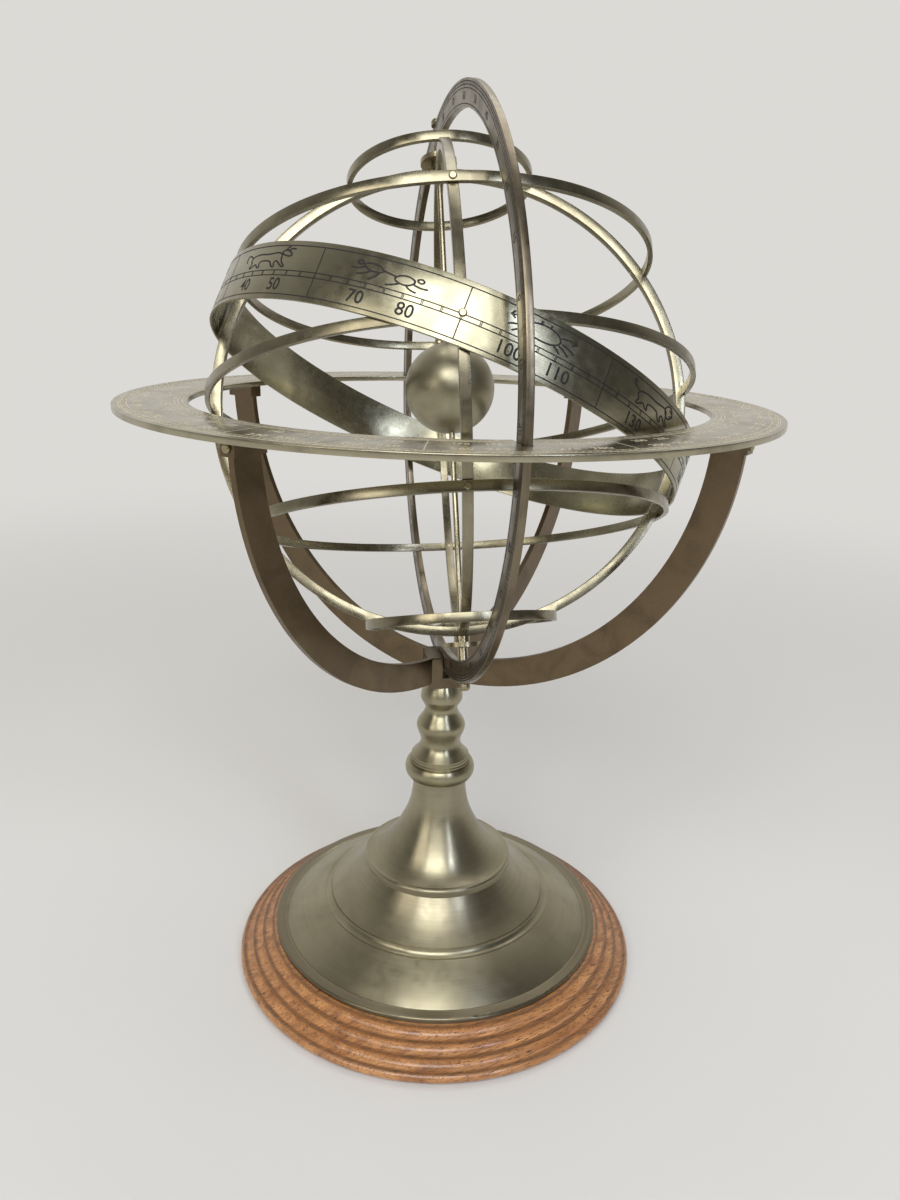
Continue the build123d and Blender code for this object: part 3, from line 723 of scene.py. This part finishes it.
class Figure(Enum):
    """The twelve figures of the zodiac, as closed and open strokes of a plain line drawing."""

    RAM = (
        (BEAST, "6.2,2 7.4,3.6 9.6,3.3 11,1.8 10,1 8,1.2"),
        ("8.6,3.3 7,4.2 5.4,3.3 5.8,2 7.2,1.9 7.4,2.9", "-9.6,1 -11,1.6 -10.8,0"),
    )
    BULL = (
        (BEAST, "6,2 7.4,3.4 9.4,3 11.2,1.4 10.4,0.6 8,1"),
        ("8,3.2 7.8,4.4 9.4,4.6", "9,3.1 10.6,4.4 12,3.6", "-9.6,1 -12,2.6 -13.4,1 -12.6,-1"),
    )
    TWINS = (
        ("-11,2.2 -9.6,3.2 -8.6,2.2 -9.6,1.2", "8,0.8 9.4,1.8 10.6,0.8 9.4,-0.2",
         "-8.6,2 -6,2.8 -3,2 -1.6,0.2 -4,-0.4 -6.4,-0.2 -8,0.8",
         "7.8,0.4 5.6,1.4 2.8,0.8 1.4,-1 3.4,-2.2 6,-2.2 7.6,-1"),
        ("-2,0.8 0,0.4 2,0", "-3,-0.2 -4,-2.4 -6,-3.6", "-5.6,-0.2 -7.6,-2 -10,-2.4",
         "3.6,-2 2,-3.4 -0.4,-3.9", "5.6,-2.2 6.6,-3.6 9,-3.8", "-8,1 -9.6,-0.6 -12,-0.2",
         "7.4,-1 9.6,-2 12,-1.4"),
    )
    CRAB = (
        ("-6,0 -4,2.4 0,3.2 4,2.4 6,0 4,-2.4 0,-3 -4,-2.4",),
        ("5.4,1.4 8,2.6 10.6,1.6 9,0.8", "10.6,1.6 9.6,3.4", "-5.4,1.4 -8,2.6 -10.6,1.6 -9,0.8",
         "-10.6,1.6 -9.6,3.4", "6,-0.4 8.6,-0.6 10.6,-2", "5.2,-1.4 7.6,-2.2 9,-3.8",
         "4,-2.4 5.6,-3.4 6.2,-4.2", "-6,-0.4 -8.6,-0.6 -10.6,-2", "-5.2,-1.4 -7.6,-2.2 -9,-3.8",
         "-4,-2.4 -5.6,-3.4 -6.2,-4.2", "-1.4,3 -1.6,4.2", "1.4,3 1.6,4.2"),
    )
    LION = (
        (BEAST, "5.4,3 6.6,4.3 8.4,4.4 10,3.4 10.4,1.8 9.6,0.2 7.8,-0.4 6.2,0.4 5.4,1.6"),
        ("8,3.2 9.6,3 10.9,1.9 10.2,1.2 8.8,1.1", "-9.6,1 -12,2 -13,3.8 -11.8,4.2 -11.6,3"),
    )
    MAIDEN = (
        ("7.8,1.6 9.2,2.8 10.6,1.6 9.2,0.4",
         "7.8,1.4 4,2.4 -1,1.4 -7,1.8 -11,0.2 -10,-2 -5,-2.6 0,-1.8 4.6,-1.8 7.4,0"),
        ("4.6,2.2 5,3.8 7.6,4.2", "7.6,4.2 8.4,3.2", "7.6,4.2 9,4.4", "3,-1.8 4.8,-3.2 7.6,-3.4",
         "-2,1.4 -4,0 -9,-0.4", "0,-1.8 -4,-0.8 -10,-1.2"),
    )
    SCALES = (
        ("-9,-1 -6.6,-2.8 -4.2,-1", "4.2,-1 6.6,-2.8 9,-1"),
        ("-7,3 0,3.6 7,3", "0,4.4 0,-3.4", "-3,-3.8 0,-3.2 3,-3.8", "-6.8,3 -9,-1", "-6.8,3 -4.2,-1",
         "6.8,3 9,-1", "6.8,3 4.2,-1"),
    )
    SCORPION = (
        ("-5,0 -2,1.8 2,1.8 5.6,0.2 2,-1.6 -2,-1.6",),
        ("5,0.8 8,2.4 10.8,1.6 9.2,0.8", "5,-0.4 8,-2 10.8,-1.4 9.2,-0.6",
         "-5,0 -8,0.4 -10.6,2 -9.6,4 -7,4.2 -7.6,3.2", "3,1.6 4,3.4", "0.6,1.9 1,3.7", "-2,1.8 -2.6,3.4",
         "3,-1.4 4,-3.4", "0.6,-1.7 1,-3.7", "-2,-1.7 -2.6,-3.4", "-1,1.7 -1,-1.6", "1.6,1.7 1.6,-1.6"),
    )
    ARCHER = (
        (BEAST, "5.2,3.6 6.2,4.5 7.2,3.6 6.2,2.8"),
        ("5.4,2.4 6.4,2.9 9.6,2.6", "9,4.4 10.8,3.6 11.4,2.4 10.8,1 9,0.2", "9,4.4 7.6,2.4 9,0.2",
         "7.4,2.4 12.6,2.3", "12,2.9 12.8,2.3 12,1.7", "-9.6,1 -11.6,1.4 -12.4,-0.6"),
    )
    GOAT = (
        ("-4,1.6 0,1.4 4.6,2.4 6.8,1.4 6.6,0 7.4,-2 9.4,-3.4 8,-3.8 5.8,-1.9 4.2,-1 3.4,-2.6"
         " 4.4,-3.8 3,-3.9 1.8,-2.2 0,-1.4 -4,-1.8 -7.4,-3 -10,-1.8 -11,0.4 -12.6,2.6 -10.4,2.4"
         " -9.4,3.6 -9,1.4 -8.8,-0.4 -7.4,-1 -5.6,0.4", "6.2,2 7.4,3.4 9.4,3 11,1.6 10,0.8 8,1.2"),
        ("8,3.4 6.4,4.4 4.4,4.2", "9.6,1 9.8,0"),
    )
    WATERER = (
        ("4.6,2.8 6,3.8 7.2,2.8 6,1.8", "4.6,2.4 1.6,2.4 -1,0.8 -2.4,-1.6 0.6,-2 3,-1 5.2,0.8",
         "8,0.6 9.8,1.4 11,0.2 10,-0.8 8.4,-0.6"),
        ("5,1.4 6.6,0.2 8.4,0", "10.6,0.6 12.6,-0.6 12.2,-2.4 13.4,-3.8",
         "11,0 11.4,-1.4 10.8,-2.6 11.6,-4", "-2.2,-1.4 -5,-2.2 -8.4,-1.8",
         "-1.6,-1.9 -4.6,-3.6 -8.6,-3.8", "1.6,2.2 -1.6,3.2 -4,2.4"),
    )
    FISHES = (
        ("-12,2 -9,3.4 -5,2.6 -3,1.4 -1,2.4 -1.4,0.8 -1.2,-0.6 -3,0.6 -6,-0.2 -10,0.4",
         "12,-2 9,-3.4 5,-2.6 3,-1.4 1,-2.6 1.4,-0.8 1.2,0.6 3,-0.6 6,0.2 10,-0.4"),
        ("-11.6,1.6 -12.6,-1 -8,-3.4 0,-3.6 6,-3.9 11.4,-2.6", "-10.4,2.2 -10.2,2.4",
         "10.4,-2.2 10.2,-2.4", "-7.6,3 -7.2,0", "7.6,-3 7.2,0"),
    )

    def draw(self, onto: Engraver, at: Matrix, width: float) -> None:
        """Draw the figure's strokes onto a ring.

        Args:
            onto: the ring's engraver.
            at: the figure's place and scale in the drawing.
            width: the strokes' width.
        """
        closed, opened = self.value
        onto.strokes([points(s) for s in closed], width, curved=True, at=at, closed=True)
        onto.strokes([points(s) for s in opened], width, curved=True, at=at)


# ---------------------------------------------------------------- finishes

STEM_BRASS = AgedBrass("turned_stem_brass", "9e977c", "584b38", "c5bea2", (0.26, 0.38), clouding=0.35,
                       mark_length=60, mark_pitch=0.7, anisotropy=0.65)
# past 90.7 mm the dish's rolled rim is painted darker, as painted shade
FOOT_BRASS = AgedBrass("spun_foot_brass", "9e967d", "5a4e3b", "c5bea3", (0.28, 0.4), clouding=0.4,
                       cloud=34, mark_length=90, mark_pitch=0.9, anisotropy=0.65, rim=90.7)
HORIZON_BRASS = AgedBrass("rolled_horizon_brass", "a9a28a", "5b4f3d", "c8c0a7", (0.18, 0.32), clouding=0.5,
                          mark_length=25, mark_pitch=0.6, place=LEVEL)
# painted dark reflection: the meridian ring's metal is darker than the other brass, for the dark surroundings
# it mirrors
MERIDIAN_BRASS = AgedBrass("rolled_meridian_brass_dark_reflection", "776c59", "3b3127", "aea388", (0.24, 0.4), clouding=0.55,
                           cloud=18, mark_length=20, mark_pitch=0.5, place=MERIDIAN)
# painted dark reflection: the arms' metal is darker and browner than the other brass, for the dark
# surroundings they mirror
ARM_BRASS = AgedBrass("rolled_arm_brass_dark_reflection", "6c5c46", "3a2e22", "9d8e70", (0.28, 0.42), clouding=0.5,
                      cloud=22, mark_length=15, mark_pitch=0.6)
BAND_BRASS = AgedBrass("etched_band_brass", "9a957d", "554d36", "c2bca4", (0.18, 0.32), clouding=0.6,
                       cloud=30, mark_length=40, mark_pitch=0.5, place=ZODIAC)
BALL_BRASS = AgedBrass("spun_ball_brass", "9d967d", "554a37", "c3bca0", (0.32, 0.44), clouding=0.3,
                       cloud=18, mark_length=30, mark_pitch=0.4, place=POLAR)
ROD_BRASS = AgedBrass("drawn_rod_brass", "a79d82", "544737", "cfc5a8", (0.2, 0.3), clouding=0.25,
                      place=POLAR)
RIVET_BRASS = AgedBrass("riveted_brass", "9b9073", "453928", "c3b997", (0.22, 0.34), clouding=0.25, cloud=6)
ETCH_DARK = EtchFill("dark_etching", "1d1a16", 0.2, 0.6)
ETCH_PALE = EtchFill("pale_etching", "d2c7ae", 0.5, 0.55)
HUB_BRASS = AgedBrass("milled_hub_brass", "685b47", "33291f", "9b8d70", (0.28, 0.42), clouding=0.5, cloud=14)


def strip_brass(name: str, place: Matrix) -> AgedBrass:
    """Return the finish of a rolled brass strip that is bent round its own frame's Z axis."""
    return AgedBrass(name, "8e8770", "44392b", "b9b197", (0.2, 0.34), clouding=0.5, cloud=22,
                     mark_length=14, mark_pitch=0.45, place=place)


# ---------------------------------------------------------------- sub-assemblies


@dataclass
class Stand:
    """Base, foot, stem, hub and arms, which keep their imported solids."""

    def dress(self) -> None:
        """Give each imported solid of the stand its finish."""
        oak, felt, steel = VarnishedOak().build(), BaizeFelt().build(), ZincedSteel().build()
        foot, stem, hub = FOOT_BRASS.build(), STEM_BRASS.build(), HUB_BRASS.build()
        arm, rivet = ARM_BRASS.build(), RIVET_BRASS.build()
        finishes = {
            "wood_base": oak, "base_felt": felt, "tie_rod": steel, "base_washer": steel, "base_nut": steel,
            "foot_dish": foot, "foot_bell": foot, "stem_collar": stem, "stem_baluster": stem,
            "hub_block": hub, "socket_screws": rivet,
        }
        for corner in ("front_right", "back_right", "back_left", "front_left"):
            finishes[f"arm_{corner}"] = finishes[f"socket_{corner}"] = arm
        dress_nodes(finishes)


@dataclass
class HorizonRing:
    """The flat horizon plate, notched for the meridian ring, with its etched scales."""

    inner: float = 130.5
    outer: float = 165.0
    thick: float = 2.8
    slide: float = 4.1
    notch: float = 146.4
    outer_lines: tuple[float, ...] = (161.8, 160.8, 158.2)
    inner_lines: tuple[float, ...] = (136.6, 135.0, 132.8)
    notch_gap: float = 1.5                                 # in degrees, to each side of a notch
    outer_numbers: tuple[float, float] = (153.6, 4.4)      # radius and height
    inner_numbers: tuple[float, float] = (142.2, 3.6)
    bold: float = 0.05
    line: float = 0.45
    degree_line: float = 0.25
    five_line: float = 0.3

    def build(self) -> None:
        """Build the plate and its etching."""
        outline = bar(self.inner, self.outer, -self.thick, 0)
        plate = to_object("horizon_plate", spun(outline, LEVEL, RING_STEPS, 0.3))
        cut(plate, block("slide_cut", (self.slide, 2 * self.notch, 4 * self.thick), LEVEL))
        settle(plate, HORIZON_BRASS.build(), "stand", "horizon_brass", "horizon_ring")
        settle(self.etching(), ETCH_PALE.build(), "stand", "horizon_brass")

    def etching(self) -> bpy.types.Object:
        """Draw the circles, divisions and numbers of the horizon.

        Returns:
            The piece.
        """
        middle = (self.inner + self.outer) / 2
        draw = Engraver("horizon_etching", on_the_horizon(middle, CENTRE.z))
        degree = math.radians(1) * middle

        def across(angle: float, inner: float, outer: float) -> list[Flat]:
            """Return a radial line at an angle between two radii."""
            return [(angle * degree, middle - outer), (angle * degree, middle - inner)]

        def along(radius: float, start: float, end: float) -> list[Flat]:
            """Return a line along the ring between two angles."""
            steps = round((end - start) / 2)
            return [((start + (end - start) * at / steps) * degree, middle - radius)
                    for at in range(steps + 1)]

        draw.strokes([along(radius, 0, 360) for radius in self.outer_lines], self.line)
        draw.strokes([along(radius, start + self.notch_gap, start + 180 - self.notch_gap)
                      for radius in self.inner_lines for start in (-90, 90)], self.line)
        _, degrees_out, degrees_in = self.outer_lines
        fields_in, fives_out, fives_in = self.inner_lines
        clear = [angle for angle in range(0, 360, 5) if angle % 180 != 90]
        draw.strokes([across(angle, degrees_in, degrees_out) for angle in range(360)], self.degree_line)
        draw.strokes([across(angle, fives_in, fives_out) for angle in clear], self.five_line)
        draw.strokes([across(angle, fields_in, degrees_in) for angle in clear if angle % 15 == 0], self.line)
        for angle in range(5, 361, 5):
            if angle % 15:
                for number, (radius, height) in (
                    (angle, self.outer_numbers), ((angle + 270) % 360 or 360, self.inner_numbers),
                ):
                    place = Matrix.Translation((angle * degree, middle - radius, 0))
                    draw.text(str(number), height, place, bold=self.bold)
        return draw.piece()


@dataclass
class MeridianRing:
    """The meridian ring that slides in the hub and the horizon, with its latitude scale, and the ball."""

    inner: float = 133.8
    outer: float = 145.5
    thick: float = 3.3
    lines: tuple[float, ...] = (144.2, 142.8, 141.4, 135.2)
    numbers_at: float = 138.2
    number_height: float = 3.6
    bold: float = 0.04
    line: float = 0.45
    degree_line: float = 0.22
    five_line: float = 0.3

    def build(self) -> None:
        """Build the ring and both its etched faces, and dress what turns with it."""
        half = self.thick / 2
        outline = bar(self.inner, self.outer, -half, half)
        ring = to_object("meridian_hoop", spun(outline, MERIDIAN, RING_STEPS, 0.3))
        settle(ring, MERIDIAN_BRASS.build(), "meridian", "meridian_brass", "meridian_ring")
        etch = ETCH_DARK.build()
        for name, side in (("meridian_etching_right", 1), ("meridian_etching_left", -1)):
            settle(self.etching(name, side), etch, "meridian", "meridian_brass")
        rod, rivet = ROD_BRASS.build(), RIVET_BRASS.build()
        finishes = {"polar_rod": rod, "sleeve_north": rod, "sleeve_south": rod, "pivot_nut_north": rivet,
                    "pivot_nut_south": rivet, "earth_ball": BALL_BRASS.build()}
        dress_nodes(finishes)

    def etching(self, name: str, side: int) -> bpy.types.Object:
        """Draw the circles, degrees and latitudes of one face.

        Args:
            name: the piece's name.
            side: 1 for the right face and -1 for the left.

        Returns:
            The piece.
        """
        middle = (self.inner + self.outer) / 2
        draw = Engraver(name, on_the_meridian(middle, self.thick / 2, side))
        degree = math.radians(1) * middle
        pole = POLE_TILT * side
        rows = [radius - middle for radius in self.lines]
        draw.strokes([[(2 * at * degree, row) for at in range(181)] for row in rows], self.line)
        for step, outer, inner, width in (
            (1, rows[0], rows[1], self.degree_line), (5, rows[1], rows[2], self.five_line),
        ):
            draw.strokes([[((pole + at) * degree, inner), ((pole + at) * degree, outer)]
                          for at in range(0, 360, step)], width)
        for at in range(10, 360, 10):
            if at != 180:
                place = Matrix.Translation(((pole + at) * degree, self.numbers_at - middle, 0))
                draw.text(str(abs(90 - at % 180)), self.number_height, place, bold=self.bold)
        return draw.piece()


@dataclass
class Cage:
    """The turning cage: two colures, five parallels, the zodiac band, discs and rivets."""

    colure: float = 121.5
    colure_thick: float = 5.0
    strip: float = 2.5
    width: float = 4.6
    seat: float = 1.6
    fit: float = 0.05
    arctic: float = 45.8
    arctic_seat: float = 0.6
    band_inner: float = 122.5
    band_outer: float = 123.7
    band_width: float = 26.0
    tropic_gap: float = 0.2
    rod_bore: float = 1.56
    scale_rows: tuple[float, ...] = (10.7, -0.5, -2.7, -11.0)
    figure_row: float = 5.1
    figure_scale: tuple[float, float] = (1.4, 1.08)
    number_row: float = -6.9
    number_height: float = 5.6
    bold: float = 0.1
    line: float = 0.5
    figure_line: float = 0.65
    block_line: float = 0.35
    block_gap: float = 0.14                # in degrees, to each side of a block's end

    def parallels(self) -> dict[str, tuple[float, float, str]]:
        """Work out the five parallel circles.

        Returns:
            Each one's lower height, its inner radius and the node that it stands for.
        """
        lean = math.radians(OBLIQUITY)
        tropic = self.band_outer * math.sin(lean) + self.band_width / 2 * math.cos(lean) + self.tropic_gap
        tropic_inner = math.sqrt(self.colure**2 - tropic**2) - self.seat
        arctic = math.sqrt(self.colure**2 - (self.arctic + self.strip / 2) ** 2) - self.arctic_seat
        return {
            "north_polar_hoop": (arctic, self.arctic, "arctic_circle"),
            "cancer_hoop": (tropic, tropic_inner, "tropic_of_cancer"),
            "equator_hoop": (-self.width / 2, self.colure - self.seat, "equator"),
            "capricorn_hoop": (-tropic - self.width, tropic_inner, "tropic_of_capricorn"),
            "south_polar_hoop": (-arctic - self.width, self.arctic, "antarctic_circle"),
        }

    def build(self) -> None:
        """Build the strips and the band, and dress the discs and rivets."""
        parallel_finish = strip_brass("rolled_parallel_brass", CAGE).build()
        rows = self.parallels()
        for name, (low, inner, node) in rows.items():
            outline = bar(inner, inner + self.strip, low, low + self.width)
            hoop = to_object(name, spun(outline, CAGE, STRIP_STEPS, 0.2))
            settle(hoop, parallel_finish, "cage", "strip_brass", node)
        for name, node, place, turn, over in (
            ("equinoctial_hoop", "colure_equinoctial", CAGE @ turned(-90, "X"), 0, True),
            ("solstitial_hoop", "colure_solstitial", CAGE @ turned(90, "Y"), 90, False),
        ):
            half = self.width / 2
            outline = bar(self.colure - self.colure_thick, self.colure, -half, half)
            hoop = to_object(name, spun(outline, place, STRIP_STEPS, 0.3))
            cut(hoop, self.housings(rows), self.halving(turn, over))
            settle(hoop, strip_brass(f"rolled_{name}_brass", place).build(), "cage", "strip_brass", node)
        half = self.band_width / 2
        outline = bar(self.band_inner, self.band_outer, -half, half)
        band = to_object("zodiac_hoop", spun(outline, ZODIAC, RING_STEPS, 0.25))
        settle(band, BAND_BRASS.build(), "cage", "zodiac_brass", "zodiac_band")
        settle(self.etching(), ETCH_DARK.build(), "cage", "zodiac_brass")
        rivet = RIVET_BRASS.build()
        dress_nodes({name: rivet for name in ("pole_disc_north", "pole_disc_south", "cage_rivets")})

    def housings(self, rows: dict[str, tuple[float, float, str]]) -> bpy.types.Object:
        """Make the tool that houses a colure for the parallels, all five as one mesh of rings.

        Args:
            rows: the parallels, as parallels() gives them.

        Returns:
            The tool.
        """
        bm = bmesh.new()
        for low, inner, _ in rows.values():
            outline = bar(inner - self.fit, inner + self.strip + self.fit,
                          low - self.fit, low + self.width + self.fit)
            ring = spun(outline, CAGE, STRIP_STEPS)
            mesh = bpy.data.meshes.new("ring")
            ring.to_mesh(mesh)
            ring.free()
            bm.from_mesh(mesh)
            bpy.data.meshes.remove(mesh)
        return to_object("housings", bm)

    def halving(self, turn: float, over: bool) -> bpy.types.Object:
        """Make the tool that halves a colure into the other at the poles and bores it for the rod.

        Args:
            turn: the turn of the colure's own plane about the cage's axis.
            over: whether this colure keeps its outer half.

        Returns:
            The tool.
        """
        bm = bmesh.new()
        halved = self.colure - self.colure_thick / 2
        outwards = -1 if over else 1
        near, far = halved - outwards * self.fit, halved + outwards * self.colure_thick
        for side in (1, -1):
            made = bmesh.ops.create_cube(bm, size=1.0)["verts"]
            bmesh.ops.scale(bm, vec=(self.width + 2 * self.fit, 2 * self.width, abs(far - near)), verts=made)
            bmesh.ops.translate(bm, vec=(0, 0, side * (near + far) / 2), verts=made)
            bmesh.ops.transform(bm, matrix=turned(turn, "Z"), verts=made)
        bmesh.ops.create_cone(bm, segments=32, radius1=self.rod_bore, radius2=self.rod_bore,
                              depth=3 * self.colure, cap_ends=True)
        bm.transform(CAGE)
        return to_object("halving", bm)

    def etching(self) -> bpy.types.Object:
        """Draw the borders, scale, figures and numbers of the zodiac.

        Returns:
            The piece.
        """
        draw = Engraver("zodiac_etching", round_the_band(self.band_outer))
        degree = math.radians(1) * self.band_outer
        top, scale_top, scale_foot, foot = self.scale_rows
        draw.strokes([[(2 * at * degree, row) for at in range(181)] for row in self.scale_rows], self.line)
        for upper, lower in ((top, scale_top), (scale_foot, foot)):
            draw.strokes([[(at * degree, upper), (at * degree, lower)]
                          for at in range(0, 360, SIGN)], self.line)
        block_ends = [SIGN * cell / BLOCKS + side * self.block_gap
                      for cell in range(len(Figure) * BLOCKS) for side in (-1, 1)]
        draw.strokes([[(at * degree, scale_top), (at * degree, scale_foot)] for at in block_ends],
                     self.block_line)
        for sign, figure in enumerate(Figure):
            start = SIGN * (sign - 3)
            place = Matrix.Translation(((start + SIGN / 2) * degree, self.figure_row, 0))
            figure.draw(draw, place @ Matrix.Diagonal((*self.figure_scale, 1, 1)), self.figure_line)
            for part in (10, 20):
                place = Matrix.Translation(((start + part) * degree, self.number_row, 0))
                draw.text(str(SIGN * sign + part), self.number_height, place, bold=self.bold)
        return draw.piece()


@dataclass
class Studio:
    """Pale floor, soft lights and the camera."""

    camera_at: tuple[float, float, float] = (-0.10011, -0.48178, 0.38379)
    heading: float = 12.09
    pitch: float = 18.34
    roll: float = 1.756
    lens: float = 28.24
    pale: str = "dcdad6"

    def build(self) -> None:
        """Build the floor, lamps, world and camera."""
        self.floor()
        self.lamp("key", (-0.42, -1.5, 1.6), (1.3, 1.2), 28, "fbfdff")
        self.lamp("left", (-1.5, -1.1, 1.1), (0.8, 1.0), 8, "fffaf0")
        self.lamp("window", (0.62, -1.5, 1.15), (0.25, 0.9), 7, "dbe6ff")
        self.lamp("top", (0.3, 0.6, 1.9), (1.2, 1.2), 9, "ffffff")
        self.world()
        eye = bpy.data.cameras.new("camera")
        eye.lens, eye.sensor_width, eye.sensor_fit = self.lens, 36, "AUTO"
        holder = bpy.data.objects.new("camera", eye)
        bpy.context.scene.collection.objects.link(holder)
        holder.matrix_world = (Matrix.Translation(self.camera_at) @ turned(-self.heading, "Z")
                               @ turned(90 - self.pitch, "X") @ turned(self.roll, "Z"))
        bpy.context.scene.camera = holder
        bpy.context.scene.view_settings.view_transform = "Standard"

    def floor(self) -> None:
        """Lay the floor."""
        bm = bmesh.new()
        bmesh.ops.create_circle(bm, cap_ends=True, segments=96, radius=12000)
        floor = to_object("floor", bm)
        material, tree = blank_material("painted_floor")
        at = placed_mm(tree, UPRIGHT)
        away = add_node(tree, "ShaderNodeVectorMath", {0: at}, operation="LENGTH")
        far = add_node(tree, "ShaderNodeMapRange", {
            "Value": away.outputs["Value"], "From Min": 250, "From Max": 1500,
        }, interpolation_type="SMOOTHSTEP")
        path = add_node(tree, "ShaderNodeLightPath")
        mirrored = add_node(tree, "ShaderNodeMath", {
            0: path.outputs["Is Glossy Ray"], 1: path.outputs["Is Transmission Ray"],
        }, operation="MAXIMUM")
        seen = add_node(tree, "ShaderNodeMath", {
            0: path.outputs["Is Camera Ray"], 1: mirrored.outputs[0],
        }, operation="MAXIMUM")
        pale = add_node(tree, "ShaderNodeMath", {0: far.outputs[0], 1: seen.outputs[0]}, operation="MULTIPLY")
        paint = add_node(tree, "ShaderNodeBsdfPrincipled", {
            "Base Color": linear(self.pale), "Roughness": 0.8,
        })
        glow = add_node(tree, "ShaderNodeEmission", {"Color": linear(self.pale)})
        shader = add_node(tree, "ShaderNodeMixShader", {
            0: pale.outputs[0], 1: paint.outputs[0], 2: glow.outputs[0],
        })
        add_node(tree, "ShaderNodeOutputMaterial", {"Surface": shader.outputs[0]})
        dress(floor, material)

    def lamp(self, name: str, at: tuple[float, float, float], size: tuple[float, float], watts: float,
             colour: str) -> None:
        """Hang a soft lamp that faces the object.

        Args:
            name: the lamp's name.
            at: its place, in metres.
            size: its width and height, in metres.
            watts: its power.
            colour: its sRGB hex colour.
        """
        light = bpy.data.lights.new(name, "AREA")
        light.shape, light.size, light.size_y = "RECTANGLE", *size
        light.energy, light.color = watts, linear(colour)[:3]
        lamp = bpy.data.objects.new(name, light)
        lamp.location = at
        lamp.rotation_euler = (Vector(at) - CENTRE * MM).to_track_quat("Z", "Y").to_euler()
        bpy.context.scene.collection.objects.link(lamp)

    def world(self) -> None:
        """Light the room: pale behind the object, dimmer behind the camera."""
        world = bpy.data.worlds.new("studio")
        bpy.context.scene.world = world
        world.use_nodes = True
        tree = world.node_tree
        tree.nodes.clear()
        way = add_node(tree, "ShaderNodeTexCoord")
        axes = add_node(tree, "ShaderNodeSeparateXYZ", {0: way.outputs["Generated"]})
        lit = add_node(tree, "ShaderNodeMapRange", {
            "Value": axes.outputs["Y"], "From Min": -0.5, "From Max": 0.4, "To Min": 0.3, "To Max": 0.6,
        })
        shown = add_node(tree, "ShaderNodeMapRange", {
            "Value": axes.outputs["Y"], "From Min": -0.2, "From Max": 0.8, "To Min": 0.15, "To Max": 1.0,
        })
        path = add_node(tree, "ShaderNodeLightPath")
        mirrored = add_node(tree, "ShaderNodeMath", {
            0: path.outputs["Is Glossy Ray"], 1: path.outputs["Is Transmission Ray"],
        }, operation="MAXIMUM")
        seen = add_node(tree, "ShaderNodeMix", {
            "Factor": mirrored.outputs[0], "A": lit.outputs[0], "B": shown.outputs[0],
        })
        strength = add_node(tree, "ShaderNodeMix", {
            "Factor": path.outputs["Is Camera Ray"], "A": seen.outputs[0], "B": 1.0,
        })
        back = add_node(tree, "ShaderNodeBackground", {
            "Color": linear(self.pale), "Strength": strength.outputs[0],
        })
        add_node(tree, "ShaderNodeOutputWorld", {"Surface": back.outputs[0]})


def main() -> None:
    """Build the looks in order."""
    logging.basicConfig(level=logging.INFO, format="%(name)s: %(message)s")
    Studio().build()
    Stand().dress()
    HorizonRing().build()
    MeridianRing().build()
    Cage().build()


if __name__ == "__main__":
    main()
